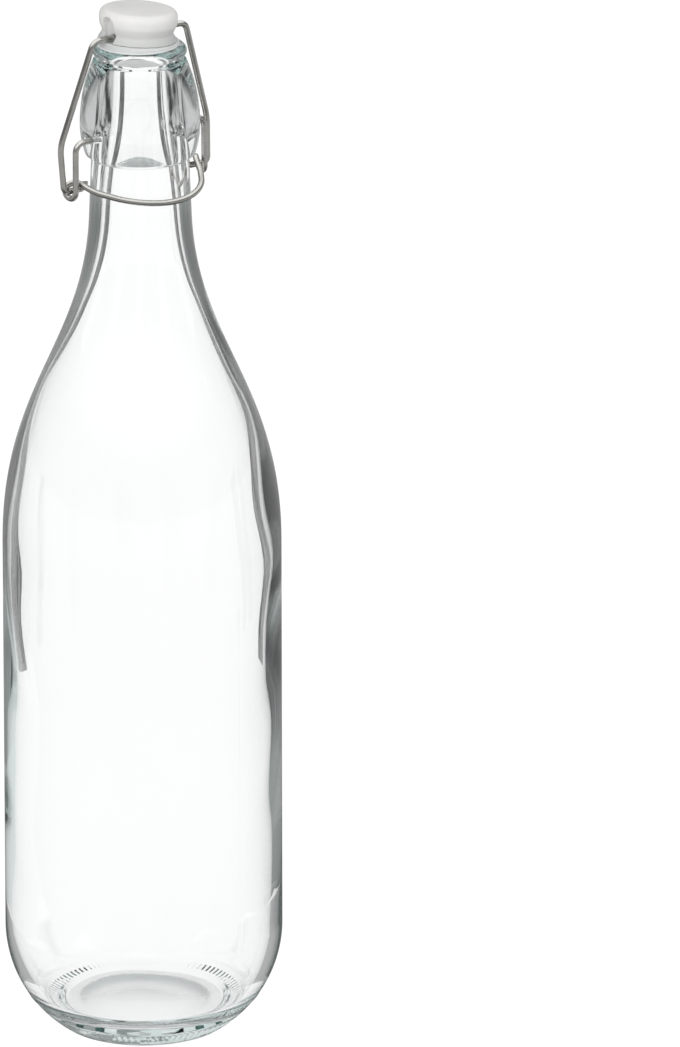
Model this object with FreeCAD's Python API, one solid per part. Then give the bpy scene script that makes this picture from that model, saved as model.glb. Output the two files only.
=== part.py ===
import FreeCAD, Part
import math
import os

# Swing top bottle: a glass bottle whose wire closure presses a plastic stopper with a gasket on the lip.
# Frame: origin at the centre of the base, +Z up, X along the pivots of the lever, thumb arc at -Y.
# The model is in the closed pose. Lengths are in millimetres and angles in degrees.

# Glass body
body_radius = 43.0
body_wall = 3.2
heel_radius = 38.4  # large round from the side to the foot
foot_round = 3.0  # small round from the heel to the bearing ring
bearing_radius = 24.0
bearing_width = 3.0
push_up = 4.5  # rise of the underside at the axis
base_thickness = 5.0
floor_round = 9.0
side_height = 157.0  # from the table to the shoulder
shoulder_height = 104.8
shoulder_hold = 49.3  # how strongly the shoulder keeps the direction of the side
neck_hold = 42.0  # how strongly it keeps the direction of the neck
neck_root_radius = 15.75
neck_top_radius = 15.0
neck_height = 18.8
neck_wall = 3.9

# Finish: the bell that holds the pivots, and the lip
bell_height = 30.6
bell_foot_radius = 16.9
bell_foot_rise = 1.0
belly_radius = 18.45
belly_rise = 10.4  # widest place above the underside of the bell
bell_top_radius = 14.3
groove_radius = 13.5
groove_height = 1.1
lip_radius = 14.45
lip_height = 3.6
lip_top_radius = 12.9
mouth_round = 0.8
bore_radius = 8.75
bore_depth = 15.0

# Pivots
pivot_rise = 8.0  # above the underside of the bell
pivot_depth = 5.0  # blind hole, below the belly
pivot_clearance = 0.1
pivot_end_gap = 0.3

# Wires
wire_diameter = 1.9
lever_half_span = 24.4
elbow_round = 3.0
eye_drop = 15.5  # eye below the pivot
eye_back = 2.2  # eye behind the pivot, which locks the closed lever over centre
eye_radius = 2.3  # to the middle of the wire
eye_lean = 1.0  # the back of the eye stands further out than the leg
eye_step = 2.9  # the wire leaves the eye this far inside the leg
eye_corners = 8  # corners of one full turn, each rounded
thumb_half_width = 21.7
thumb_depth = 25.7
thumb_reach = 18.2  # front of the thumb arc, from the axis
thumb_drop = 18.3  # front of the thumb arc, below the pivot
thumb_pitch = 11.5
thumb_spread = 26.0  # turn from one corner of the thumb arc to the next
bar_rise = 3.9  # crossbar above the lip
bail_top_half_span = 17.4
bail_top_round = 3.2
knee_half_span = 27.9
knee_drop = 1.3  # below the pivot
knee_back = 3.2
knee_round = 14.0
hook_half_span = 27.3
hook_round = 1.9
hook_reach = 8.0  # how far the hook goes through the eye
hook_tip = 2.0

# Stopper and gasket
stopper_tilt = 4.0  # the loose stopper leans along the crossbar
stopper_slide = -0.7  # and has slipped along it
head_foot_radius = 12.2
head_waist_radius = 10.8
head_side_radius = 12.0
head_top_radius = 12.1
head_under_bar = 2.0
head_waist_rise = 0.5  # narrowest place, above the bar
head_flare_rise = 3.2  # end of the flare above the waist, above the bar
head_over_bar = 8.0
head_edge_round = 2.2
head_crown = 0.3
bar_clearance = 0.1
notch_half_width = 2.7
notch_rise = 3.3  # straight part of the notch above the bar
notch_floor = 9.2  # distance of the bottom of the notch from the axis
stem_radius = 3.0
stem_clearance = 0.05
nub_radius = 3.8
nub_height = 1.6
nub_gap = 0.4
seat_gap = 0.3  # between the gasket and the lip
gasket_radius = 12.7
gasket_edge = 1.0
gasket_skirt_rise = 3.0
gasket_top_radius = 11.9
plug_root_radius = 7.2
plug_tip_radius = 5.2
plug_depth = 5.8

# Heights that follow from the stack of lengths
neck_root_height = side_height + shoulder_height
bell_base = neck_root_height + neck_height
groove_base = bell_base + bell_height
lip_base = groove_base + groove_height
lip_top = lip_base + lip_height
pivot_height = bell_base + pivot_rise
eye_height = pivot_height - eye_drop
bar_height = lip_top + bar_rise
wire_radius = wire_diameter / 2
pivot_bottom = belly_radius - pivot_depth
gasket_base = lip_top + seat_gap

AXIS_X = FreeCAD.Vector(1, 0, 0)
AXIS_Y = FreeCAD.Vector(0, 1, 0)
AXIS_Z = FreeCAD.Vector(0, 0, 1)
ORIGIN = FreeCAD.Vector(0, 0, 0)


def at(radius, height):
    """Point of a turned profile, in the XZ plane."""
    return FreeCAD.Vector(radius, 0, height)


def line(start, end):
    return Part.LineSegment(start, end).toShape()


def arc_about(centre, start, end):
    """Arc of less than half a turn about a centre."""
    radius = (start - centre).Length
    middle = (start - centre) + (end - centre)
    middle.normalize()
    return Part.Arc(start, centre + middle * radius, end).toShape()


def swell(widest, end):
    """Centre of the arc from the widest place of a profile, where it runs straight up, to another point."""
    across = widest.x - end.x
    along = end.z - widest.z
    radius = (across * across + along * along) / (2 * across)
    return at(widest.x - radius, widest.z)


def bezier(points):
    curve = Part.BezierCurve()
    curve.setPoles(points)
    return curve.toShape()


def turned(edges):
    """Solid of revolution of a closed profile about the Z axis."""
    return Part.Face(Part.Wire(edges)).revolve(ORIGIN, AXIS_Z, 360)


def polygon_profile(corners):
    return [line(a, b) for a, b in zip(corners, corners[1:] + corners[:1])]


def shoulder(body, neck, neck_lean):
    """S-shaped wall from the top of the side to the root of the neck."""
    leaving = body + FreeCAD.Vector(0, 0, shoulder_hold)
    arriving = neck + FreeCAD.Vector(neck_hold * neck_lean, 0, -neck_hold)
    return [body, leaving, arriving, neck]


def glass_bottle():
    neck_lean = (neck_root_radius - neck_top_radius) / neck_height

    # Base: push-up, flat bearing ring, foot and heel
    bearing_inner = bearing_radius - bearing_width
    dome_radius = (bearing_inner ** 2 + push_up ** 2) / (2 * push_up)
    dome_centre = at(0, push_up - dome_radius)
    foot_centre = at(bearing_radius, foot_round)
    heel_x = body_radius - heel_radius
    heel_rise = math.sqrt((heel_radius - foot_round) ** 2 - (bearing_radius - heel_x) ** 2)
    heel_centre = at(heel_x, foot_round + heel_rise)
    towards_foot = foot_centre - heel_centre
    towards_foot.normalize()
    foot_end = heel_centre + towards_foot * heel_radius
    heel_end = at(body_radius, heel_centre.z)
    edges = [
        arc_about(dome_centre, at(0, push_up), at(bearing_inner, 0)),
        line(at(bearing_inner, 0), at(bearing_radius, 0)),
        arc_about(foot_centre, at(bearing_radius, 0), foot_end),
        arc_about(heel_centre, foot_end, heel_end),
    ]

    # Outside: side, shoulder, neck, bell, groove and lip
    side_end = at(body_radius, side_height)
    neck_root = at(neck_root_radius, neck_root_height)
    neck_top = at(neck_top_radius, bell_base)
    bell_foot = at(bell_foot_radius, bell_base + bell_foot_rise)
    belly = at(belly_radius, bell_base + belly_rise)
    bell_top = at(bell_top_radius, groove_base)
    groove = at(groove_radius, groove_base + groove_height / 2)
    lip_foot = at(lip_top_radius, lip_base)
    lip_edge = at(lip_radius, lip_base + lip_height / 2)
    lip_end = at(lip_top_radius, lip_top)
    edges += [
        line(heel_end, side_end),
        bezier(shoulder(side_end, neck_root, neck_lean)),
        line(neck_root, neck_top),
        line(neck_top, bell_foot),
        arc_about(swell(belly, bell_foot), bell_foot, belly),
        arc_about(swell(belly, bell_top), belly, bell_top),
        line(bell_top, groove),
        line(groove, lip_foot),
        Part.Arc(lip_foot, lip_edge, lip_end).toShape(),
    ]

    # Inside: mouth, bore, neck, shoulder, side and floor
    mouth_edge = at(bore_radius + mouth_round, lip_top)
    mouth_end = at(bore_radius, lip_top - mouth_round)
    bore_end = at(bore_radius, lip_top - bore_depth)
    inner_neck = at(neck_root_radius - neck_wall, neck_root_height)
    inner_side_top = at(body_radius - body_wall, side_height)
    inner_side_end = at(body_radius - body_wall, heel_centre.z)
    inner_heel_radius = heel_radius - body_wall
    floor_height = push_up + base_thickness
    floor_drop = heel_centre.z - floor_height - floor_round
    floor_edge = heel_x + math.sqrt((inner_heel_radius - floor_round) ** 2 - floor_drop ** 2)
    round_centre = at(floor_edge, floor_height + floor_round)
    towards_round = round_centre - heel_centre
    towards_round.normalize()
    inner_heel_end = heel_centre + towards_round * inner_heel_radius
    widening = (bore_end.z - inner_neck.z) / 2
    bore_points = [
        bore_end,
        at(bore_radius, bore_end.z - widening),
        at(inner_neck.x - neck_lean * widening, inner_neck.z + widening),
        inner_neck,
    ]
    edges += [
        line(lip_end, mouth_edge),
        arc_about(at(mouth_edge.x, mouth_end.z), mouth_edge, mouth_end),
        line(mouth_end, bore_end),
        bezier(bore_points),
        bezier(shoulder(inner_side_top, inner_neck, neck_lean)),
        line(inner_side_top, inner_side_end),
        arc_about(heel_centre, inner_side_end, inner_heel_end),
        arc_about(round_centre, inner_heel_end, at(floor_edge, floor_height)),
        line(at(floor_edge, floor_height), at(0, floor_height)),
        line(at(0, floor_height), at(0, push_up)),
    ]
    bottle = turned(edges)

    for side in (1, -1):
        start = FreeCAD.Vector(side * pivot_bottom, 0, pivot_height)
        hole = Part.makeCylinder(wire_radius + pivot_clearance, 2 * pivot_depth, start, AXIS_X * side)
        bottle = bottle.cut(hole)
    return bottle


def wire_path(stations):
    """Straight runs with tangent arcs. A station is a point and its bend radius, None for as large as fits."""
    fit = 0.49  # share of the shorter run that an arc may use
    points = [point for point, bend in stations]
    edges = []
    last = points[0]
    for index in range(1, len(points) - 1):
        corner = points[index]
        back = points[index - 1] - corner
        ahead = points[index + 1] - corner
        half_turn = (math.pi - back.getAngle(ahead)) / 2
        bend = stations[index][1]
        if bend is None:
            reach = fit * min(back.Length, ahead.Length)
            bend = reach / math.tan(half_turn)
        else:
            reach = bend * math.tan(half_turn)
        back.normalize()
        ahead.normalize()
        arc_start = corner + back * reach
        arc_end = corner + ahead * reach
        inward = back + ahead
        inward.normalize()
        middle = corner + inward * (bend / math.cos(half_turn) - bend)
        edges.append(line(last, arc_start))
        edges.append(Part.Arc(arc_start, middle, arc_end).toShape())
        last = arc_end
    edges.append(line(last, points[-1]))
    return Part.Wire(edges)


def both_sides(half):
    """Whole route of a wire from its +X half, which ends at the middle."""
    mirrored = [(FreeCAD.Vector(-point.x, point.y, point.z), bend) for point, bend in half]
    return half + mirrored[::-1]


def bent_wire(name, stations):
    path = wire_path(stations)
    start = stations[0][0]
    section = Part.Wire([Part.makeCircle(wire_radius, start, stations[1][0] - start)])
    tube = path.makePipeShell([section], True, False)
    expected = math.pi * wire_radius ** 2 * path.Length
    print(f"{name}: length {path.Length:.1f} mm, volume {tube.Volume:.1f}, section x length {expected:.1f}")
    return tube


def lever_wire():
    half = [
        (FreeCAD.Vector(pivot_bottom + pivot_end_gap, 0, pivot_height), None),
        (FreeCAD.Vector(lever_half_span, 0, pivot_height), elbow_round),
    ]

    # Eye: down at the front, round the bottom and the back, and forward over the top
    step = 360 / eye_corners
    corner_radius = eye_radius / math.cos(math.radians(step / 2))
    front, back, end = 180, 360, 495
    angle = front + step / 2
    while angle < end:
        if angle < back:
            out = lever_half_span + eye_lean * (angle - front) / (back - front)
        else:
            out = lever_half_span + eye_lean - (eye_lean + eye_step) * (angle - back) / (end - back)
        turn = math.radians(angle)
        corner = FreeCAD.Vector(
            out,
            eye_back + corner_radius * math.cos(turn),
            eye_height + corner_radius * math.sin(turn),
        )
        half.append((corner, None))
        angle += step

    # Thumb arc: corners round part of an ellipse, in a plane that falls towards the front
    fall = math.tan(math.radians(thumb_pitch))
    middle_y = thumb_depth - thumb_reach
    outside = 1 / math.cos(math.radians(thumb_spread / 2))
    for count in (5, 3, 1):
        turn = math.radians(count * thumb_spread / 2)
        y = middle_y - thumb_depth * outside * math.cos(turn)
        corner = FreeCAD.Vector(
            thumb_half_width * outside * math.sin(turn),
            y,
            pivot_height - thumb_drop + fall * (thumb_reach + y),
        )
        half.append((corner, None))
    return bent_wire("lever_wire", both_sides(half))


def bail_wire():
    hook_end = hook_half_span - hook_reach
    half = [
        (FreeCAD.Vector(hook_end, eye_back, eye_height + hook_tip), None),
        (FreeCAD.Vector(hook_end, eye_back, eye_height), hook_round),
        (FreeCAD.Vector(hook_half_span, eye_back, eye_height), hook_round),
        (FreeCAD.Vector(knee_half_span, knee_back, pivot_height - knee_drop), knee_round),
        (FreeCAD.Vector(bail_top_half_span, 0, bar_height), bail_top_round),
    ]
    return bent_wire("bail_wire", both_sides(half))


def leaned(shape):
    """Leans a piece of the stopper along the crossbar, top towards +X, and slips it along."""
    turned_shape = shape.copy()
    turned_shape.rotate(FreeCAD.Vector(0, 0, bar_height), AXIS_Y, stopper_tilt)
    turned_shape.translate(AXIS_X * stopper_slide)
    return turned_shape


def stopper_head():
    bottom = bar_height - head_under_bar
    top = bar_height + head_over_bar
    shoulder_at = top - head_crown - head_edge_round
    flat_edge = at(head_top_radius - head_edge_round, top - head_crown)
    crown_radius = (flat_edge.x ** 2 + head_crown ** 2) / (2 * head_crown)
    plug_end = gasket_base - plug_depth
    nub_top = plug_end - nub_gap
    nub_end = nub_top - nub_height
    corners = [
        at(0, nub_end),
        at(stem_radius, nub_end),
        at(nub_radius, nub_end + nub_height / 2),
        at(nub_radius, nub_top),
        at(stem_radius, nub_top),
        at(stem_radius, bottom),
        at(head_foot_radius, bottom),
        at(head_waist_radius, bar_height + head_waist_rise),
        at(head_side_radius, bar_height + head_flare_rise),
        at(head_top_radius, shoulder_at),
    ]
    edges = [line(a, b) for a, b in zip(corners, corners[1:])]
    edges += [
        arc_about(at(flat_edge.x, shoulder_at), at(head_top_radius, shoulder_at), flat_edge),
        arc_about(at(0, top - crown_radius), flat_edge, at(0, top)),
        line(at(0, top), at(0, nub_end)),
    ]
    head = turned(edges)

    # An arched notch round each end of the crossbar
    spring = bar_height + notch_rise
    for side in (1, -1):
        x = side * notch_floor
        foot_left = FreeCAD.Vector(x, -notch_half_width, bottom)
        foot_right = FreeCAD.Vector(x, notch_half_width, bottom)
        arch_left = FreeCAD.Vector(x, -notch_half_width, spring)
        arch_right = FreeCAD.Vector(x, notch_half_width, spring)
        crown = FreeCAD.Vector(x, 0, spring + notch_half_width)
        outline = [
            line(foot_left, foot_right),
            line(foot_right, arch_right),
            Part.Arc(arch_right, crown, arch_left).toShape(),
            line(arch_left, foot_left),
        ]
        notch = Part.Face(Part.Wire(outline)).extrude(AXIS_X * (side * head_top_radius))
        head = head.cut(notch)
    head = leaned(head)

    # The hole keeps to the crossbar
    length = 4 * head_top_radius
    start = FreeCAD.Vector(-length / 2, 0, bar_height)
    return head.cut(Part.makeCylinder(wire_radius + bar_clearance, length, start, AXIS_X))


def gasket():
    plug_end = gasket_base - plug_depth
    skirt_top = gasket_base + gasket_skirt_rise
    corners = [
        at(0, plug_end),
        at(plug_tip_radius, plug_end),
        at(plug_root_radius, gasket_base),
        at(gasket_radius, gasket_base),
        at(gasket_radius, gasket_base + gasket_edge),
        at(gasket_top_radius, skirt_top),
        at(0, skirt_top),
    ]
    washer = turned(polygon_profile(corners))
    washer.translate(AXIS_X * stopper_slide)

    # The stem passes through it, and the leaning head presses its top flat
    bottom = bar_height - head_under_bar
    above = Part.makeCylinder(2 * gasket_radius, 2 * gasket_radius, at(0, bottom), AXIS_Z)
    stem_length = bottom - plug_end
    stem_start = at(0, plug_end - stem_length)
    stem = Part.makeCylinder(stem_radius + stem_clearance, 3 * stem_length, stem_start, AXIS_Z)
    return washer.cut(leaned(above)).cut(leaned(stem))


def main():
    os.makedirs("parts", exist_ok=True)
    pieces = {
        "glass_bottle": glass_bottle(),
        "lever_wire": lever_wire(),
        "bail_wire": bail_wire(),
        "stopper_head": stopper_head(),
        "gasket": gasket(),
    }
    for name, shape in pieces.items():
        box = shape.BoundBox
        print(
            f"{name}: {len(shape.Solids)} solid, valid {shape.isValid()}, volume {shape.Volume:.0f},"
            f" z {box.ZMin:.2f} to {box.ZMax:.2f}, x {box.XMin:.2f} to {box.XMax:.2f}"
        )
        shape.exportStep(os.path.join("parts", name + ".step"))


main()
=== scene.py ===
import bmesh
import bpy
import math
from mathutils import Matrix, Vector


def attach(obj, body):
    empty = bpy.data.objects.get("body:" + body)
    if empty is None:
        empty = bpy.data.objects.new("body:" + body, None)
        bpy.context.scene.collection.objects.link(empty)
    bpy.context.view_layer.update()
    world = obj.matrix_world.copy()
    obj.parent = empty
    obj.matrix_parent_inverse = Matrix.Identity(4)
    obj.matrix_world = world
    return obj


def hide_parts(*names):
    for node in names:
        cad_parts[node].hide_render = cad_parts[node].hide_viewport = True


# Swing top bottle: clear glass, two steel wires, a white stopper and a pale gasket.
# Everything is in metres, base centre at the origin, thumb arc of the lever at -Y.

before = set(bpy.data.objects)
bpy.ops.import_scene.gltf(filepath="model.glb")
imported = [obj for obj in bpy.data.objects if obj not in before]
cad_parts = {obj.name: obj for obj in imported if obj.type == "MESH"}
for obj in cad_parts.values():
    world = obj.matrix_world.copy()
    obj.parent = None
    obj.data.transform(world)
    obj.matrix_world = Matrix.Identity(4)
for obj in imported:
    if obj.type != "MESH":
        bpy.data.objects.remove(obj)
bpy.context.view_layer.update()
mm = 0.001
weldGap = 0.002 * mm
pickGap = 0.01 * mm
print("frame loaded:", ", ".join(sorted(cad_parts)))


# Shader helper

class Shade:
    def __init__(self, tree, socket=None):
        self.tree = tree
        self.socket = socket

    def node(self, kind, settings=None, inputs=None, output=0):
        made = self.tree.nodes.new("ShaderNode" + kind)
        for key, value in (settings or {}).items():
            if key == "stops":
                for stop in range(2, len(value)):
                    made.color_ramp.elements.new(1)
                for element, (place, colour) in zip(made.color_ramp.elements, value):
                    element.position = place
                    element.color = colour
            else:
                setattr(made, key, value)
        for key, value in (inputs or {}).items():
            if isinstance(value, Shade):
                self.tree.links.new(value.socket, made.inputs[key])
            else:
                made.inputs[key].default_value = value
        return Shade(self.tree, made.outputs[output] if made.outputs else None)

    def maths(self, operation, first, second):
        return self.node("Math", {"operation": operation}, {0: first, 1: second})

    def __add__(self, other):
        return self.maths("ADD", self, other)

    def __sub__(self, other):
        return self.maths("SUBTRACT", self, other)

    def __rsub__(self, other):
        return self.maths("SUBTRACT", other, self)

    def __mul__(self, other):
        return self.maths("MULTIPLY", self, other)

    def either(self, other):
        return self.maths("MAXIMUM", self, other)

    def above(self, limit):
        return self.maths("GREATER_THAN", self, limit)

    __radd__ = __add__
    __rmul__ = __mul__


def newMaterial(name):
    material = bpy.data.materials.new(name)
    material.use_nodes = True
    material.node_tree.nodes.clear()
    return material, Shade(material.node_tree)


def mottled(shade, darker, paler, noise):
    # two near tones of a colour, in soft patches
    return shade.node("ValToRGB", {"stops": [(0.3, darker), (0.7, paler)]}, {"Fac": noise})


def objectPlace(shade):
    return shade.node("TexCoord", output=3)


# Modelling helpers

def deselectAll():
    if bpy.context.mode != "OBJECT":
        bpy.ops.object.mode_set(mode="OBJECT")
    bpy.ops.object.select_all(action="DESELECT")


def pickVerts(test):
    mesh = bmesh.from_edit_mesh(bpy.context.object.data)
    bpy.ops.mesh.select_all(action="DESELECT")
    for vert in mesh.verts:
        vert.select = test(vert.co)
    mesh.select_flush(True)
    bmesh.update_edit_mesh(bpy.context.object.data)


def turnedPiece(name, outline, steps):
    # a corner point, drawn on along the outline and spun about the upright axis
    deselectAll()
    bpy.ops.mesh.primitive_plane_add(size=mm, location=(outline[0][0], 0, outline[0][1]))
    piece = bpy.context.object
    piece.name = name
    bpy.ops.object.transform_apply(location=True, rotation=True, scale=True)
    bpy.ops.object.mode_set(mode="EDIT")
    bpy.ops.mesh.select_all(action="SELECT")
    bpy.ops.mesh.merge(type="CENTER")
    for before, after in zip(outline, outline[1:]):
        step = (after[0] - before[0], 0, after[1] - before[1])
        bpy.ops.mesh.extrude_vertices_move(TRANSFORM_OT_translate={"value": step})
    bpy.ops.mesh.select_all(action="SELECT")
    bpy.ops.mesh.spin(steps=steps, angle=2 * math.pi, center=(0, 0, 0), axis=(0, 0, 1))
    bpy.ops.mesh.select_all(action="SELECT")
    bpy.ops.mesh.remove_doubles(threshold=weldGap)
    bpy.ops.mesh.normals_make_consistent(inside=False)
    return piece


def applyModifier(piece, kind, **settings):
    modifier = piece.modifiers.new(kind.lower(), kind)
    for key, value in settings.items():
        setattr(modifier, key, value)
    bpy.context.view_layer.objects.active = piece
    bpy.ops.object.modifier_apply(modifier=modifier.name)


def finishPiece(piece, material, body, node, sharpAngle):
    deselectAll()
    piece.select_set(True)
    bpy.context.view_layer.objects.active = piece
    bpy.ops.object.shade_smooth_by_angle(angle=math.radians(sharpAngle))
    piece.data.materials.clear()
    piece.data.materials.append(material)
    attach(piece, body)
    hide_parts(node)
    print(piece.name, "done:", len(piece.data.polygons), "faces")


def arcPoints(centre, start, end, count):
    # points after the start, up to the end, the short way round the centre
    radius = math.dist(centre, start)
    first = math.atan2(start[1] - centre[1], start[0] - centre[0])
    last = math.atan2(end[1] - centre[1], end[0] - centre[0])
    turn = math.remainder(last - first, 2 * math.pi)
    angles = [first + turn * step / count for step in range(1, count + 1)]
    return [(centre[0] + radius * math.cos(a), centre[1] + radius * math.sin(a)) for a in angles]


def curvePoints(poles, count):
    # cubic curve, without its first point
    points = []
    for step in range(1, count + 1):
        t = step / count
        share = ((1 - t) ** 3, 3 * (1 - t) ** 2 * t, 3 * (1 - t) * t * t, t ** 3)
        points.append(tuple(sum(s * pole[axis] for s, pole in zip(share, poles)) for axis in (0, 1)))
    return points


def linePoints(start, end, count):
    return [tuple(a + (b - a) * step / count for a, b in zip(start, end)) for step in range(1, count + 1)]


def roundCorners(points, rounds, count=5):
    # every point with a round becomes an arc that touches both of its runs
    made = [points[0]]
    for before, corner, after, bend in zip(points, points[1:], points[2:], rounds[1:]):
        if not bend:
            made.append(corner)
            continue
        back = (Vector(before) - Vector(corner)).normalized()
        ahead = (Vector(after) - Vector(corner)).normalized()
        half = back.angle(ahead) / 2
        reach = bend / math.tan(half)
        middle = Vector(corner) + (back + ahead).normalized() * bend / math.sin(half)
        start = Vector(corner) + back * reach
        end = Vector(corner) + ahead * reach
        made.append(tuple(start))
        made += arcPoints(tuple(middle), tuple(start), tuple(end), count)
    made.append(points[-1])
    return made


# Glass bottle

glass = {
    "bodyRadius": 43.0, "wall": 3.2, "heelRadius": 38.4, "footRound": 3.0,
    "bearingRadius": 24.0, "bearingWidth": 3.0, "pushUp": 4.5, "baseThickness": 5.0, "floorRound": 9.0,
    "sideHeight": 157.0, "shoulderHeight": 104.8, "shoulderHold": 49.3, "neckHold": 42.0,
    "neckRootRadius": 15.75, "neckTopRadius": 15.0, "neckHeight": 18.8, "neckWall": 3.9,
    "bellHeight": 30.6, "bellFootRadius": 16.9, "bellFootRise": 1.0,
    "bellyRadius": 18.45, "bellyRise": 10.4, "bellTopRadius": 14.3,
    "grooveRadius": 13.5, "grooveHeight": 1.1,
    "lipRadius": 14.45, "lipHeight": 3.6, "lipTopRadius": 12.9,
    "neckRound": 0.7, "bellFootRound": 0.5, "bellTopRound": 0.5, "grooveRound": 0.4,
    "mouthRound": 0.8, "boreRadius": 8.75, "boreDepth": 15.0,
    "pivotRise": 8.0, "pivotDepth": 5.0, "pivotHole": 1.05,
    "steps": 192, "holeSteps": 32, "wallPoints": slice(20, 170), "neckSplit": 0.4, "sharpAngle": 35,
    "knurlEvery": 2, "knurlDepth": 0.35, "knurlInner": 27.2, "knurlOuter": 31.8, "knurlTop": 6.0,
    "frosted": 0.5, "frostedOver": 0.2, "frostedPast": 0.5,
    "seamAngle": -83.0, "seamWidth": 0.5, "seamRises": (0.06, 0.02), "seamFrom": 30.0, "seamTo": 148.0,
    "seamPick": 0.1, "plateSeam": 10.5, "plateReach": 0.6, "plateRise": 0.12,
    "waveHeight": 2.2, "waveLength": 55.0,
    "waveFrom": 8.0, "waveRise": 30.0, "wavePast": 12.0, "waveFade": 40.0,
    "sagScale": 38.0, "sagStrength": 0.12, "sagDepth": 0.4, "index": 1.5,
    "tint": (0.16, 0.50, 0.46, 1), "tintDensity": 2.8,
}


def swellCentre(widest, end):
    across = widest[0] - end[0]
    along = end[1] - widest[1]
    radius = (across * across + along * along) / (2 * across)
    return (widest[0] - radius, widest[1])


def bottleOutline():
    g = glass
    # base: push-up, bearing ring, foot and heel
    bearingInner = g["bearingRadius"] - g["bearingWidth"]
    domeRadius = (bearingInner ** 2 + g["pushUp"] ** 2) / (2 * g["pushUp"])
    footCentre = (g["bearingRadius"], g["footRound"])
    heelX = g["bodyRadius"] - g["heelRadius"]
    heelRise = math.sqrt((g["heelRadius"] - g["footRound"]) ** 2 - (g["bearingRadius"] - heelX) ** 2)
    heelCentre = (heelX, g["footRound"] + heelRise)
    towardsFoot = (Vector(footCentre) - Vector(heelCentre)).normalized()
    footEnd = tuple(Vector(heelCentre) + towardsFoot * g["heelRadius"])
    heelEnd = (g["bodyRadius"], heelCentre[1])
    points = [(0, g["pushUp"])]
    points += arcPoints((0, g["pushUp"] - domeRadius), points[-1], (bearingInner, 0), 14)
    points += linePoints(points[-1], (g["bearingRadius"], 0), 3)
    points += arcPoints(footCentre, points[-1], footEnd, 5)
    heel = arcPoints(heelCentre, footEnd, heelEnd, 44)
    points += [stretchOut(heelCentre, point) for point in heel]

    # outside, up to the lip
    sideEnd = (g["bodyRadius"], g["sideHeight"])
    neckRoot = (g["neckRootRadius"], g["sideHeight"] + g["shoulderHeight"])
    neckLean = (g["neckRootRadius"] - g["neckTopRadius"]) / g["neckHeight"]
    bellBase = neckRoot[1] + g["neckHeight"]
    neckTop = (g["neckTopRadius"], bellBase)
    bellFoot = (g["bellFootRadius"], bellBase + g["bellFootRise"])
    belly = (g["bellyRadius"], bellBase + g["bellyRise"])
    grooveBase = bellBase + g["bellHeight"]
    bellTop = (g["bellTopRadius"], grooveBase)
    groove = (g["grooveRadius"], grooveBase + g["grooveHeight"] / 2)
    lipBase = grooveBase + g["grooveHeight"]
    lipTop = lipBase + g["lipHeight"]
    points += linePoints(points[-1], sideEnd, 30)
    leaving = (sideEnd[0], sideEnd[1] + g["shoulderHold"])
    arriving = (neckRoot[0] + g["neckHold"] * neckLean, neckRoot[1] - g["neckHold"])
    points += curvePoints([sideEnd, leaving, arriving, neckRoot], 40)
    points += linePoints(points[-1], neckTop, 6)[:-1]
    swellStart = arcPoints(swellCentre(belly, bellFoot), bellFoot, belly, 10)
    swellEnd = arcPoints(swellCentre(belly, bellTop), belly, bellTop, 16)
    lipMiddle = (g["lipTopRadius"] - (g["lipHeight"] ** 2 / 4 - (g["lipRadius"] - g["lipTopRadius"]) ** 2)
                 / (2 * (g["lipRadius"] - g["lipTopRadius"])), lipBase + g["lipHeight"] / 2)
    bead = arcPoints(lipMiddle, (g["lipTopRadius"], lipBase), (g["lipRadius"], lipMiddle[1]), 6)
    bead += arcPoints(lipMiddle, (g["lipRadius"], lipMiddle[1]), (g["lipTopRadius"], lipTop), 6)
    corners = [points[-1], neckTop, bellFoot] + swellStart + swellEnd[:-1] + [bellTop, groove] + bead
    rounds = [0.0] * len(corners)
    rounds[1] = g["neckRound"]
    rounds[2] = g["bellFootRound"]
    rounds[corners.index(bellTop)] = g["bellTopRound"]
    rounds[corners.index(groove)] = g["grooveRound"]
    points += roundCorners(corners, rounds)[1:]

    # inside, down to the floor
    mouthEdge = (g["boreRadius"] + g["mouthRound"], lipTop)
    mouthEnd = (g["boreRadius"], lipTop - g["mouthRound"])
    boreEnd = (g["boreRadius"], lipTop - g["boreDepth"])
    innerNeck = (g["neckRootRadius"] - g["neckWall"], neckRoot[1])
    innerTop = (g["bodyRadius"] - g["wall"], g["sideHeight"])
    innerHeelRadius = g["heelRadius"] - g["wall"]
    floorHeight = g["pushUp"] + g["baseThickness"]
    floorDrop = heelCentre[1] - floorHeight - g["floorRound"]
    floorEdge = heelX + math.sqrt((innerHeelRadius - g["floorRound"]) ** 2 - floorDrop ** 2)
    roundCentre = (floorEdge, floorHeight + g["floorRound"])
    towardsRound = (Vector(roundCentre) - Vector(heelCentre)).normalized()
    innerHeelEnd = tuple(Vector(heelCentre) + towardsRound * innerHeelRadius)
    widening = (boreEnd[1] - innerNeck[1]) / 2
    points += linePoints(points[-1], mouthEdge, 3)
    points += arcPoints((mouthEdge[0], mouthEnd[1]), mouthEdge, mouthEnd, 5)
    points += linePoints(points[-1], boreEnd, 10)
    poles = [boreEnd, (boreEnd[0], boreEnd[1] - widening),
             (innerNeck[0] - neckLean * widening, innerNeck[1] + widening), innerNeck]
    points += curvePoints(poles, 16)
    leaving = (innerNeck[0] + g["neckHold"] * neckLean, innerNeck[1] - g["neckHold"])
    poles = [innerNeck, leaving, (innerTop[0], innerTop[1] + g["shoulderHold"]), innerTop]
    points += curvePoints(poles, 40)
    points += linePoints(points[-1], (innerTop[0], heelCentre[1]), 30)
    points += arcPoints(heelCentre, points[-1], innerHeelEnd, 14)
    points += arcPoints(roundCentre, innerHeelEnd, (floorEdge, floorHeight), 8)
    points += linePoints(points[-1], (0, floorHeight), 10)
    return [(radius * mm, height * mm) for radius, height in points], bellBase


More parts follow.
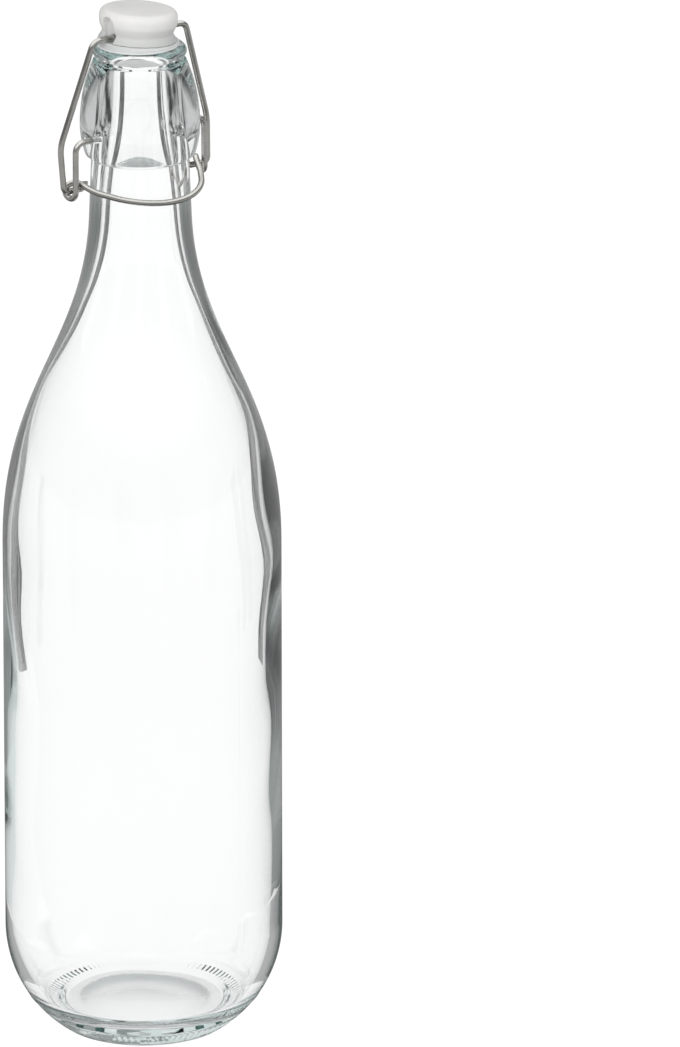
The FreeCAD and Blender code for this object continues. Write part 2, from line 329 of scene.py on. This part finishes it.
def stretchOut(centre, point):
    # faint ridge where the base plate of the mould met its sides
    near = abs(point[1] - glass["plateSeam"]) < glass["plateReach"]
    out = (Vector(point) - Vector(centre)).normalized() * (glass["plateRise"] if near else 0)
    return (point[0] + out.x, point[1] + out.y)


def glassMaterial():
    material, shade = newMaterial("clearGlass")
    place = objectPlace(shade)
    height = shade.node("SeparateXYZ", inputs={0: place}, output=2)
    away = shade.node("VectorMath", {"operation": "LENGTH"}, {0: place}, output=1)
    sag = shade.node("TexNoise", {}, {
        "Vector": place, "Scale": glass["sagScale"], "Detail": 1.0, "Roughness": 0.4})
    bump = shade.node("Bump", {}, {
        "Height": sag, "Strength": glass["sagStrength"], "Distance": glass["sagDepth"] * mm})
    # the frosted underside, below the push-up and inside the bearing ring
    low = 1 - height.above((glass["pushUp"] + glass["frostedOver"]) * mm)
    foot = low * (1 - away.above((glass["bearingRadius"] + glass["frostedPast"]) * mm))
    surface = shade.node("BsdfPrincipled", {}, {
        "Base Color": (1, 1, 1, 1), "Roughness": foot * glass["frosted"], "IOR": glass["index"],
        "Transmission Weight": 1.0, "Normal": bump})
    tint = shade.node("VolumeAbsorption", {}, {"Color": glass["tint"], "Density": glass["tintDensity"]})
    shade.node("OutputMaterial", {}, {"Surface": surface, "Volume": tint})
    return material


def makeBottle():
    outline, bellBase = bottleOutline()
    piece = turnedPiece("bottleGlass", outline, glass["steps"])
    column = 2 * math.pi / glass["steps"]

    # faint radial marks on the heel: the places between them are set back
    def betweenMarks(place):
        out = math.hypot(place.x, place.y)
        index = round(math.atan2(place.y, place.x) / column) % glass["knurlEvery"]
        ring = glass["knurlInner"] * mm < out < glass["knurlOuter"] * mm
        return place.z < glass["knurlTop"] * mm and ring and index > 0

    pickVerts(betweenMarks)
    bpy.ops.transform.shrink_fatten(value=-glass["knurlDepth"] * mm)

    # mould seams: a narrow ridge up each side
    seamColumn = round(math.radians(glass["seamAngle"]) / column) * column
    for side, rise in zip((0, math.pi), glass["seamRises"]):
        across = Vector((math.cos(seamColumn + side), math.sin(seamColumn + side), 0))

        def onSeam(place):
            away = place - across * place.dot(across)
            radius = math.hypot(place.x, place.y)
            level = glass["seamFrom"] * mm < place.z < glass["seamTo"] * mm
            outside = radius > seamRadius(place.z) and level
            near = abs(away.x) + abs(away.y) < glass["seamPick"] * mm
            return near and place.dot(across) > 0 and outside

        pickVerts(onSeam)
        bpy.ops.mesh.bevel(offset=glass["seamWidth"] / 2 * mm, segments=2, affect="EDGES", profile=0.5)
        pickVerts(onSeam)
        bpy.ops.transform.translate(value=across * rise * mm)
    bpy.ops.object.mode_set(mode="OBJECT")

    # the blown inside is uneven, the mouth and the bore are true
    inner = piece.vertex_groups.new(name="inside")
    low = glass["waveFrom"] * mm
    high = (glass["sideHeight"] + glass["shoulderHeight"]) * mm + glass["wavePast"] * mm
    for vert in piece.data.vertices:
        radius = math.hypot(vert.co.x, vert.co.y)
        if radius < seamRadius(vert.co.z) and low < vert.co.z < high:
            rise = min(1, (vert.co.z - low) / (glass["waveRise"] * mm))
            fade = min(1, (high - vert.co.z) / (glass["waveFade"] * mm))
            inner.add([vert.index], rise * fade, "REPLACE")
    clouds = bpy.data.textures.new("blownWaves", "CLOUDS")
    clouds.noise_scale = glass["waveLength"] * mm
    clouds.noise_depth = 1
    applyModifier(piece, "DISPLACE", texture=clouds, vertex_group="inside", mid_level=0.5,
                  strength=glass["waveHeight"] * mm, texture_coords="LOCAL")

    # blind holes for the ends of the lever
    for side in (1, -1):
        deselectAll()
        bpy.ops.mesh.primitive_cylinder_add(
            vertices=glass["holeSteps"], radius=glass["pivotHole"] * mm,
            depth=2 * glass["pivotDepth"] * mm,
            location=(side * glass["bellyRadius"] * mm, 0, (bellBase + glass["pivotRise"]) * mm),
            rotation=(0, math.pi / 2, 0))
        drill = bpy.context.object
        applyModifier(piece, "BOOLEAN", object=drill, operation="DIFFERENCE", solver="EXACT")
        bpy.data.objects.remove(drill)
    finishPiece(piece, glassMaterial(), "bottle", "glass_bottle", glass["sharpAngle"])


def seamRadius(height):
    # radius between the inner and the outer wall at a height
    top = (glass["sideHeight"] + glass["shoulderHeight"]) * mm
    if height > top:
        return (glass["neckTopRadius"] - glass["neckWall"] / 2 + glass["neckSplit"]) * mm
    middle = glass["wall"] / 2 * mm
    best = min(outerWall, key=lambda point: abs(point[1] - height))
    return best[0] - middle


outerWall = bottleOutline()[0][glass["wallPoints"]]
makeBottle()


# Wires keep their solids and get a drawn steel finish

wires = {
    "darker": (0.47, 0.46, 0.435, 1), "paler": (0.59, 0.58, 0.555, 1), "patchScale": 120.0,
    "streakScale": 900.0, "streakStrength": 0.2, "streakDepth": 0.02,
    "roughness": 0.2, "roughPatches": 0.12,
}


def steelMaterial():
    material, shade = newMaterial("drawnSteel")
    place = objectPlace(shade)
    streaks = shade.node("TexNoise", {}, {"Vector": place, "Scale": wires["streakScale"], "Detail": 3.0})
    patches = shade.node("TexNoise", {}, {"Vector": place, "Scale": wires["patchScale"], "Detail": 2.0})
    colour = mottled(shade, wires["darker"], wires["paler"], patches)
    rough = wires["roughness"] + wires["roughPatches"] * patches
    bump = shade.node("Bump", {}, {
        "Height": streaks, "Strength": wires["streakStrength"], "Distance": wires["streakDepth"] * mm})
    surface = shade.node("BsdfPrincipled", {}, {
        "Base Color": colour, "Metallic": 1.0, "Roughness": rough, "Normal": bump})
    shade.node("OutputMaterial", {}, {"Surface": surface})
    return material


steel = steelMaterial()
for name in ("lever_wire", "bail_wire"):
    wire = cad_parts[name]
    wire.data.materials.clear()
    wire.data.materials.append(steel)
print("wires finished")


# Stopper

stopper = {
    "tilt": 4.0, "slide": -0.7, "barHeight": 319.8, "gasketBase": 316.2,
    "footRadius": 12.2, "waistRadius": 10.8, "sideRadius": 12.0, "topRadius": 12.1,
    "edgeRound": 2.2, "crown": 0.3,
    "underBar": 2.0, "waistRise": 0.5, "flareRise": 3.2, "overBar": 8.0,
    "barHole": 1.05, "notchHalfWidth": 2.7, "notchRise": 3.3, "notchFloor": 9.2,
    "stemRadius": 3.0, "nubRadius": 3.8, "nubHeight": 1.6, "nubGap": 0.4,
    # painted shade: the grey at the end of the next line darkens the lower part of the head, between the
    # two heights after it
    "plugDepth": 5.8, "voxel": 0.24, "soften": 14, "paintedShadeColour": (0.55, 0.56, 0.55, 1),
    "shadeBelowBar": 1.0, "shadeAboveBar": 6.0,
    "darker": (0.77, 0.765, 0.755, 1), "paler": (0.81, 0.805, 0.795, 1), "cloudScale": 140.0,
    "grainScale": 2600.0, "grainStrength": 0.15, "grainDepth": 0.03,
    "roughness": 0.36, "roughClouds": 0.1, "shine": 0.4, "milky": 0.15, "milkyDepth": 1.2,
    "steps": 96, "notchSteps": 48, "holeSteps": 32, "sharpAngle": 60,
}


def plasticMaterial():
    material, shade = newMaterial("mouldedPlastic")
    place = objectPlace(shade)
    cloud = shade.node("TexNoise", {}, {"Vector": place, "Scale": stopper["cloudScale"], "Detail": 2.0})
    grain = shade.node("TexNoise", {}, {"Vector": place, "Scale": stopper["grainScale"], "Detail": 2.0})
    colour = mottled(shade, stopper["darker"], stopper["paler"], cloud)
    # painted shade: the head fades from a darker grey just below the crossbar to its own colour well
    # above it, for the shade on its lower part
    height = shade.node("SeparateXYZ", inputs={0: place}, output=2)
    low = (stopper["barHeight"] - stopper["shadeBelowBar"]) * mm
    high = (stopper["barHeight"] + stopper["shadeAboveBar"]) * mm
    foot = shade.node("MapRange", {}, {0: height, 1: low, 2: high, 3: 1.0, 4: 0.0})
    shaded = {0: foot, 6: colour, 7: stopper["paintedShadeColour"]}
    colour = shade.node("Mix", {"data_type": "RGBA"}, shaded, output=2)
    bump = shade.node("Bump", {}, {
        "Height": grain, "Strength": stopper["grainStrength"], "Distance": stopper["grainDepth"] * mm})
    rough = stopper["roughness"] + stopper["roughClouds"] * cloud
    surface = shade.node("BsdfPrincipled", {}, {
        "Base Color": colour, "Roughness": rough, "Specular IOR Level": stopper["shine"],
        "Subsurface Weight": stopper["milky"], "Subsurface Radius": (1.0, 0.9, 0.8),
        "Subsurface Scale": stopper["milkyDepth"] * mm, "Normal": bump})
    shade.node("OutputMaterial", {}, {"Surface": surface})
    return material


def lean(piece):
    # along the crossbar, on which it has slipped
    pivot = Matrix.Translation((0, 0, stopper["barHeight"] * mm))
    slip = Matrix.Translation((stopper["slide"] * mm, 0, 0))
    turn = Matrix.Rotation(math.radians(stopper["tilt"]), 4, "Y")
    piece.data.transform(slip @ pivot @ turn @ pivot.inverted())


def upright(radius, low, high):
    # round cutter about the upright axis
    deselectAll()
    bpy.ops.mesh.primitive_cylinder_add(
        vertices=stopper["steps"], radius=radius * mm, depth=(high - low) * mm,
        location=(0, 0, (low + high) / 2 * mm))
    bpy.ops.object.transform_apply(location=True, rotation=True, scale=True)
    return bpy.context.object


def cutOut(piece, cutter):
    applyModifier(piece, "BOOLEAN", object=cutter, operation="DIFFERENCE", solver="EXACT")
    bpy.data.objects.remove(cutter)


def makeStopper():
    s = stopper
    bottom = s["barHeight"] - s["underBar"]
    top = s["barHeight"] + s["overBar"]
    nubTop = s["gasketBase"] - s["plugDepth"] - s["nubGap"]
    nubEnd = nubTop - s["nubHeight"]
    shoulder = top - s["crown"] - s["edgeRound"]
    flatEdge = (s["topRadius"] - s["edgeRound"], top - s["crown"])
    crownRadius = (flatEdge[0] ** 2 + s["crown"] ** 2) / (2 * s["crown"])
    points = [(0, nubEnd), (s["stemRadius"], nubEnd), (s["nubRadius"], nubEnd + s["nubHeight"] / 2),
              (s["nubRadius"], nubTop), (s["stemRadius"], nubTop), (s["stemRadius"], bottom),
              (s["footRadius"], bottom), (s["waistRadius"], s["barHeight"] + s["waistRise"]),
              (s["sideRadius"], s["barHeight"] + s["flareRise"]), (s["topRadius"], shoulder)]
    points += arcPoints((flatEdge[0], shoulder), points[-1], flatEdge, 8)
    points += arcPoints((0, top - crownRadius), flatEdge, (0, top), 6)
    outline = [(radius * mm, height * mm) for radius, height in points]
    piece = turnedPiece("stopperHead", outline, s["steps"])
    bpy.ops.object.mode_set(mode="OBJECT")

    # arched notch at each end of the crossbar, and its hole
    arch = (s["barHeight"] + s["notchRise"]) * mm
    for side in (1, -1):
        deselectAll()
        middle = side * (s["notchFloor"] + s["topRadius"] / 2) * mm
        bpy.ops.mesh.primitive_cylinder_add(
            vertices=s["notchSteps"], radius=s["notchHalfWidth"] * mm, depth=s["topRadius"] * mm,
            location=(middle, 0, arch), rotation=(0, math.pi / 2, 0))
        cutter = bpy.context.object
        bpy.ops.object.transform_apply(location=True, rotation=True, scale=True)
        bpy.ops.object.mode_set(mode="EDIT")
        pickVerts(lambda place: place.z < arch + pickGap)
        down = -(s["notchRise"] + s["underBar"]) * mm
        bpy.ops.mesh.extrude_region_move(TRANSFORM_OT_translate={"value": (0, 0, down)})
        bpy.ops.mesh.select_all(action="SELECT")
        bpy.ops.mesh.convex_hull()
        bpy.ops.object.mode_set(mode="OBJECT")
        cutOut(piece, cutter)
    lean(piece)
    deselectAll()
    bpy.ops.mesh.primitive_cylinder_add(
        vertices=s["holeSteps"], radius=s["barHole"] * mm, depth=4 * s["topRadius"] * mm,
        location=(0, 0, s["barHeight"] * mm), rotation=(0, math.pi / 2, 0))
    cutOut(piece, bpy.context.object)

    # soft moulded edges
    applyModifier(piece, "REMESH", mode="VOXEL", voxel_size=s["voxel"] * mm)
    applyModifier(piece, "SMOOTH", factor=0.5, iterations=s["soften"])
    finishPiece(piece, plasticMaterial(), "stopper", "stopper_head", s["sharpAngle"])


makeStopper()


# Gasket

gasket = {
    "radius": 12.7, "edge": 1.0, "skirtRise": 3.0, "topRadius": 11.9,
    # painted light: the glow at the end of the next line lights the plug inside the glass, up to the
    # heights after it
    "plugRoot": 7.2, "plugTip": 5.2, "holeGap": 0.05, "edgeRound": 0.35, "tipRound": 1.6, "glow": 0.28,
    "glowBelow": 316.4, "glowEnds": 317.0,
    "darker": (0.60, 0.62, 0.61, 1), "paler": (0.66, 0.68, 0.67, 1), "cloudScale": 160.0,
    "grainScale": 1800.0, "grainStrength": 0.15, "grainDepth": 0.03,
    "roughness": 0.42, "roughClouds": 0.1, "shine": 0.4, "milky": 0.4, "milkyDepth": 2.0,
    "steps": 96, "cutPast": 5, "sharpAngle": 40,
}


def rubberMaterial():
    material, shade = newMaterial("paleRubber")
    place = objectPlace(shade)
    cloud = shade.node("TexNoise", {}, {"Vector": place, "Scale": gasket["cloudScale"], "Detail": 2.0})
    grain = shade.node("TexNoise", {}, {"Vector": place, "Scale": gasket["grainScale"], "Detail": 2.0})
    colour = mottled(shade, gasket["darker"], gasket["paler"], cloud)
    bump = shade.node("Bump", {}, {
        "Height": grain, "Strength": gasket["grainStrength"], "Distance": gasket["grainDepth"] * mm})
    # painted light: the plug inside the glass glows, standing in for the light that reaches it through
    # the glass
    height = shade.node("SeparateXYZ", inputs={0: place}, output=2)
    paintedLightMask = shade.node("MapRange", {}, {
        0: height, 1: gasket["glowBelow"] * mm, 2: gasket["glowEnds"] * mm, 3: 1.0, 4: 0.0})
    rough = gasket["roughness"] + gasket["roughClouds"] * cloud
    surface = shade.node("BsdfPrincipled", {}, {
        "Base Color": colour, "Roughness": rough, "Specular IOR Level": gasket["shine"],
        "Subsurface Weight": gasket["milky"], "Subsurface Radius": (1.0, 1.0, 1.0),
        "Subsurface Scale": gasket["milkyDepth"] * mm,
        "Emission Color": paintedLightMask, "Emission Strength": gasket["glow"], "Normal": bump})
    shade.node("OutputMaterial", {}, {"Surface": surface})
    return material


def makeGasket():
    s = stopper
    base = s["gasketBase"]
    plugEnd = base - s["plugDepth"]
    skirtTop = base + gasket["skirtRise"]
    bottom = s["barHeight"] - s["underBar"]
    corners = [(0, plugEnd), (gasket["plugTip"], plugEnd), (gasket["plugRoot"], base),
               (gasket["radius"], base), (gasket["radius"], base + gasket["edge"]),
               (gasket["topRadius"], skirtTop), (0, skirtTop)]
    rounds = [0, gasket["tipRound"]] + [gasket["edgeRound"]] * 3 + [0]
    points = roundCorners(corners, rounds)
    outline = [(radius * mm, height * mm) for radius, height in points]
    piece = turnedPiece("gasketRing", outline, gasket["steps"])
    bpy.ops.object.mode_set(mode="OBJECT")
    piece.data.transform(Matrix.Translation((s["slide"] * mm, 0, 0)))

    # the leaning head presses the top flat, and its stem passes through
    past = gasket["cutPast"]
    for cutter in (upright(2 * gasket["radius"], bottom, bottom + gasket["radius"]),
                   upright(s["stemRadius"] + gasket["holeGap"], plugEnd - past, bottom + past)):
        lean(cutter)
        cutOut(piece, cutter)
    finishPiece(piece, rubberMaterial(), "stopper", "gasket", gasket["sharpAngle"])


makeGasket()


# Stage: floor, dark cards that draw the edges of the glass, lamps and camera

stage = {
    "floorSize": 60.0, "floorColour": (0.86, 0.86, 0.86, 1), "floorGlow": 0.9, "glowStrength": 1.1,
    "cardCount": 8, "cardTurn": -38.0, "cardHeight": 0.5,
    "edgeRadius": 0.13, "edgeWidth": 45.0, "edgeHeight": 0.246, "bellWidth": 32.0,
    "edgeTone": 0.03, "edgeFade": 0.32, "fade": (0.05, 0.08), "leftFade": 0.85, "leftEnds": (0.085, 0.11),
    "topFrom": 0.2, "topTone": 0.22, "edgeTint": (0.93, 1.0, 0.985), "frontTone": 0.16, "frontFade": 0.45,
    "floorDark": 0.5, "darkFrom": 0.05, "roomNear": 0.12, "roomFar": 0.9,
    "bellStreaks": 14.0, "ringStreaks": 60.0, "greyStreaks": 7.0, "patchScale": 5.0, "patchSway": 0.3,
    "streakRange": (0.4, 0.6), "greyRange": (0.5, 0.72), "softFrom": 0.25, "softTo": 0.6,
    "bellTones": (0.05, 0.6), "shieldRadii": (0.018, 0.13), "shieldHeight": 0.279,
    "greyRadius": 0.35, "greyWidth": 9.0, "greyTones": (0.07, 0.5), "paleTones": (0.88, 1.0),
    "ambient": 0.55, "darkRoom": 0.17, "softBox": 1.5, "roomFloor": (0.12, 0.6),
    "lampPower": 13.0, "lampSize": 1.2, "lampAway": 1.6, "lampAim": 0.2,
    "lamps": (("keyLamp", -52, 36, 1.0), ("fillLamp", 40, 35, 0.3)),
    "ringSteps": 96, "bounces": 64,
}

view = {
    "azimuth": -36.5, "away": 4.7, "height": 1.70,
    "aimAside": 0.0610, "aimHeight": 0.16175, "roll": -0.06, "lens": 552.0,
    "sensor": 36, "farthest": 200,
}


def lookingRay(shade):
    camera = shade.node("LightPath", output=0)
    through = shade.node("LightPath", output="Is Transmission Ray")
    return camera.either(through)


def mirroredRay(shade):
    glossy = shade.node("LightPath", output="Is Glossy Ray")
    through = shade.node("LightPath", output="Is Transmission Ray")
    return glossy * (1 - through)


def turnedBack(shade):
    # rays that turned back inside the wall of the glass, which draw its outline dark
    crossings = shade.node("LightPath", output="Transmission Depth")
    return crossings.above(1.5) * (1 - crossings.above(2.5))


def floorMaterial():
    material, shade = newMaterial("paleFloor")
    away = shade.node("VectorMath", {"operation": "LENGTH"}, {0: objectPlace(shade)}, output=1)
    near = away.above(stage["darkFrom"]) * (1 - away.above(stage["edgeRadius"]))
    colour = shade.node("BsdfDiffuse", {}, {"Color": stage["floorColour"]})
    glow = shade.node("Emission", {}, {"Color": (1, 1, 1, 1), "Strength": stage["glowStrength"]})
    low, high = stage["roomFloor"]
    tone = shade.node("MapRange", {}, {
        0: away, 1: stage["roomNear"], 2: stage["roomFar"], 3: low, 4: high})
    room = shade.node("Emission", {}, {"Color": tone, "Strength": 1.0})
    dark = shade.node("Emission", {}, {"Color": (1, 1, 1, 1), "Strength": stage["floorDark"]})
    mixed = shade.node("MixShader", {}, {0: lookingRay(shade) * stage["floorGlow"], 1: colour, 2: glow})
    mixed = shade.node("MixShader", {}, {0: mirroredRay(shade), 1: mixed, 2: room})
    mixed = shade.node("MixShader", {}, {0: turnedBack(shade) * near, 1: mixed, 2: dark})
    shade.node("OutputMaterial", {}, {"Surface": mixed})
    return material


def edgeCardMaterial(name, low, high, fade):
    # tones at the foot and at the top of a card, with uneven patches
    material, shade = newMaterial(name)
    place = objectPlace(shade)
    height = shade.node("SeparateXYZ", inputs={0: place}, output=1)
    patches = shade.node("TexNoise", {}, {"Vector": place, "Scale": stage["patchScale"], "Detail": 2.0})
    height = height + 0.5 + stage["patchSway"] * (patches - 0.5)
    ends = [end / stage["edgeHeight"] for end in fade]
    tone = shade.node("MapRange", {}, {0: height, 1: ends[0], 2: ends[1], 3: low, 4: high})
    tone = tone + shade.node("MapRange", {}, {
        0: height, 1: stage["topFrom"] / stage["edgeHeight"], 2: 1.0, 3: 0.0, 4: stage["topTone"]})
    red, green, blue = stage["edgeTint"]
    colour = shade.node("CombineColor", {}, {0: tone * red, 1: tone * green, 2: tone * blue})
    clear = shade.node("BsdfTransparent")
    dark = shade.node("Emission", {}, {"Color": colour, "Strength": 1.0})
    mixed = shade.node("MixShader", {}, {0: turnedBack(shade), 1: clear, 2: dark})
    shade.node("OutputMaterial", {}, {"Surface": mixed})
    return material


def streakMaterial(name, scale, oneSided=False):
    # greys of the thick bell, in uneven streaks
    material, shade = newMaterial(name)
    mask = turnedBack(shade)
    if oneSided:
        mask = mask * (1 - shade.node("NewGeometry", output="Backfacing"))
    streaks = shade.node("TexNoise", {}, {"Vector": objectPlace(shade), "Scale": scale, "Detail": 3.0})
    darkest, palest = stage["bellTones"]
    start, end = stage["streakRange"]
    tone = shade.node("MapRange", {}, {0: streaks, 1: start, 2: end, 3: darkest, 4: palest})
    clear = shade.node("BsdfTransparent")
    grey = shade.node("Emission", {}, {"Color": tone, "Strength": 1.0})
    mixed = shade.node("MixShader", {}, {0: mask, 1: clear, 2: grey})
    shade.node("OutputMaterial", {}, {"Surface": mixed})
    return material


def greyCardMaterial(name, darkest, palest):
    # uneven streaks, seen only right through the bottle
    material, shade = newMaterial(name)
    crossings = shade.node("LightPath", output="Transmission Depth")
    streaks = shade.node("TexNoise", {}, {
        "Vector": objectPlace(shade), "Scale": stage["greyStreaks"], "Detail": 3.0})
    start, end = stage["greyRange"]
    tone = shade.node("MapRange", {}, {0: streaks, 1: start, 2: end, 3: darkest, 4: palest})
    clear = shade.node("BsdfTransparent")
    grey = shade.node("Emission", {}, {"Color": tone, "Strength": 1.0})
    mixed = shade.node("MixShader", {}, {0: crossings.above(3.5), 1: clear, 2: grey})
    shade.node("OutputMaterial", {}, {"Surface": mixed})
    return material


def keepFromView(card):
    card.visible_camera = False
    card.visible_diffuse = False
    card.visible_glossy = False
    card.visible_shadow = False


def makeCards(name, materials, radius, width, low, high):
    # materials of the cards behind on the right, behind on the left, and in front
    across = 2 * radius * math.tan(math.radians(width / 2))
    for index in range(stage["cardCount"]):
        angle = math.radians(stage["cardTurn"] + 360 / stage["cardCount"] * (index + 0.5))
        place = Vector((math.sin(angle), -math.cos(angle), 0)) * radius
        place.z = (low + high) / 2
        deselectAll()
        bpy.ops.mesh.primitive_plane_add(size=1, location=place, rotation=(math.pi / 2, 0, angle))
        card = bpy.context.object
        card.name = f"{name}{index}"
        card.scale = (across, high - low, 1)
        aside = angle - math.radians(view["azimuth"])
        front = math.cos(aside) > 0
        left = math.sin(aside) < 0
        card.data.materials.append(materials[2] if front else materials[1] if left else materials[0])
        keepFromView(card)


def makeStage():
    deselectAll()
    bpy.ops.mesh.primitive_plane_add(size=stage["floorSize"])
    floor = bpy.context.object
    floor.name = "floor"
    floor.data.materials.append(floorMaterial())

    edge = edgeCardMaterial("edgeCard", stage["edgeFade"], stage["edgeTone"], stage["fade"])
    left = edgeCardMaterial("leftCard", stage["leftFade"], stage["edgeTone"], stage["leftEnds"])
    bell = streakMaterial("bellCard", stage["bellStreaks"])
    front = edgeCardMaterial("frontCard", stage["frontFade"], stage["frontTone"], stage["fade"])
    grey = greyCardMaterial("greyCard", *stage["greyTones"])
    paleGrey = greyCardMaterial("paleGreyCard", *stage["paleTones"])
    radius, low, high = stage["edgeRadius"], stage["edgeHeight"], stage["cardHeight"]
    makeCards("edgeCard", (edge, left, front), radius, stage["edgeWidth"], 0, low)
    makeCards("bellCard", (bell, bell, front), radius, stage["bellWidth"], low, high)
    makeCards("greyCard", (grey, grey, paleGrey), stage["greyRadius"], stage["greyWidth"], 0, high)

    # the bell looks down on a grey ring and not into the dark of the edge cards
    ring = [(radius, stage["shieldHeight"]) for radius in stage["shieldRadii"]]
    shield = turnedPiece("bellShield", ring, stage["ringSteps"])
    if bmesh.from_edit_mesh(shield.data).faces[:][0].normal.z < 0:
        bpy.ops.mesh.flip_normals()
    bpy.ops.object.mode_set(mode="OBJECT")
    shield.data.materials.append(streakMaterial("bellShield", stage["ringStreaks"], True))
    keepFromView(shield)

    # white round the object, and a dark room with a soft box overhead in its reflections
    world = bpy.data.worlds.new("studio")
    bpy.context.scene.world = world
    world.use_nodes = True
    world.node_tree.nodes.clear()
    shade = Shade(world.node_tree)
    seen = lookingRay(shade)
    mirrored = mirroredRay(shade)
    height = shade.node("SeparateXYZ", inputs={0: objectPlace(shade)}, output=2)
    soft = shade.node("MapRange", {"interpolation_type": "SMOOTHSTEP"}, {
        0: height, 1: stage["softFrom"], 2: stage["softTo"]})
    room = stage["darkRoom"] + soft * (stage["softBox"] - stage["darkRoom"])
    strength = seen + mirrored * room + (1 - seen) * (1 - mirrored) * stage["ambient"]
    sky = shade.node("Background", {}, {"Color": (1, 1, 1, 1), "Strength": strength})
    shade.node("OutputWorld", {}, {"Surface": sky})

    # each lamp's name, turn and rise in degrees, and share of the power
    for name, angle, rise, power in stage["lamps"]:
        turn, up = math.radians(angle), math.radians(rise)
        away = Vector((math.sin(turn) * math.cos(up), -math.cos(turn) * math.cos(up), math.sin(up)))
        lamp = bpy.data.lights.new(name, "AREA")
        lamp.size = stage["lampSize"]
        lamp.energy = stage["lampPower"] * power
        lampObject = bpy.data.objects.new(name, lamp)
        lampObject.location = away * stage["lampAway"] + Vector((0, 0, stage["lampAim"]))
        lampObject.rotation_euler = away.to_track_quat("Z", "Y").to_euler()
        lampObject.visible_glossy = False
        lampObject.visible_transmission = False
        bpy.context.scene.collection.objects.link(lampObject)
    print("stage set")


def makeCamera():
    turn = math.radians(view["azimuth"])
    eye = Vector((math.sin(turn) * view["away"], -math.cos(turn) * view["away"], view["height"]))
    aside = Vector((math.cos(turn), math.sin(turn), 0)) * view["aimAside"]
    aim = aside + Vector((0, 0, view["aimHeight"]))
    lens = bpy.data.cameras.new("camera")
    lens.lens = view["lens"]
    lens.sensor_width = view["sensor"]
    lens.clip_end = view["farthest"]
    camera = bpy.data.objects.new("camera", lens)
    facing = (aim - eye).to_track_quat("-Z", "Y").to_matrix().to_4x4()
    roll = Matrix.Rotation(math.radians(view["roll"]), 4, "Z")
    camera.matrix_world = Matrix.Translation(eye) @ facing @ roll
    bpy.context.scene.collection.objects.link(camera)
    bpy.context.scene.camera = camera
    print("camera placed")


makeStage()
makeCamera()
bpy.context.scene.view_settings.view_transform = "Standard"

# light turns back many times in the thick glass of the lip and the heel
paths = bpy.context.scene.cycles
paths.max_bounces = stage["bounces"]
paths.glossy_bounces = stage["bounces"]
paths.transmission_bounces = stage["bounces"]
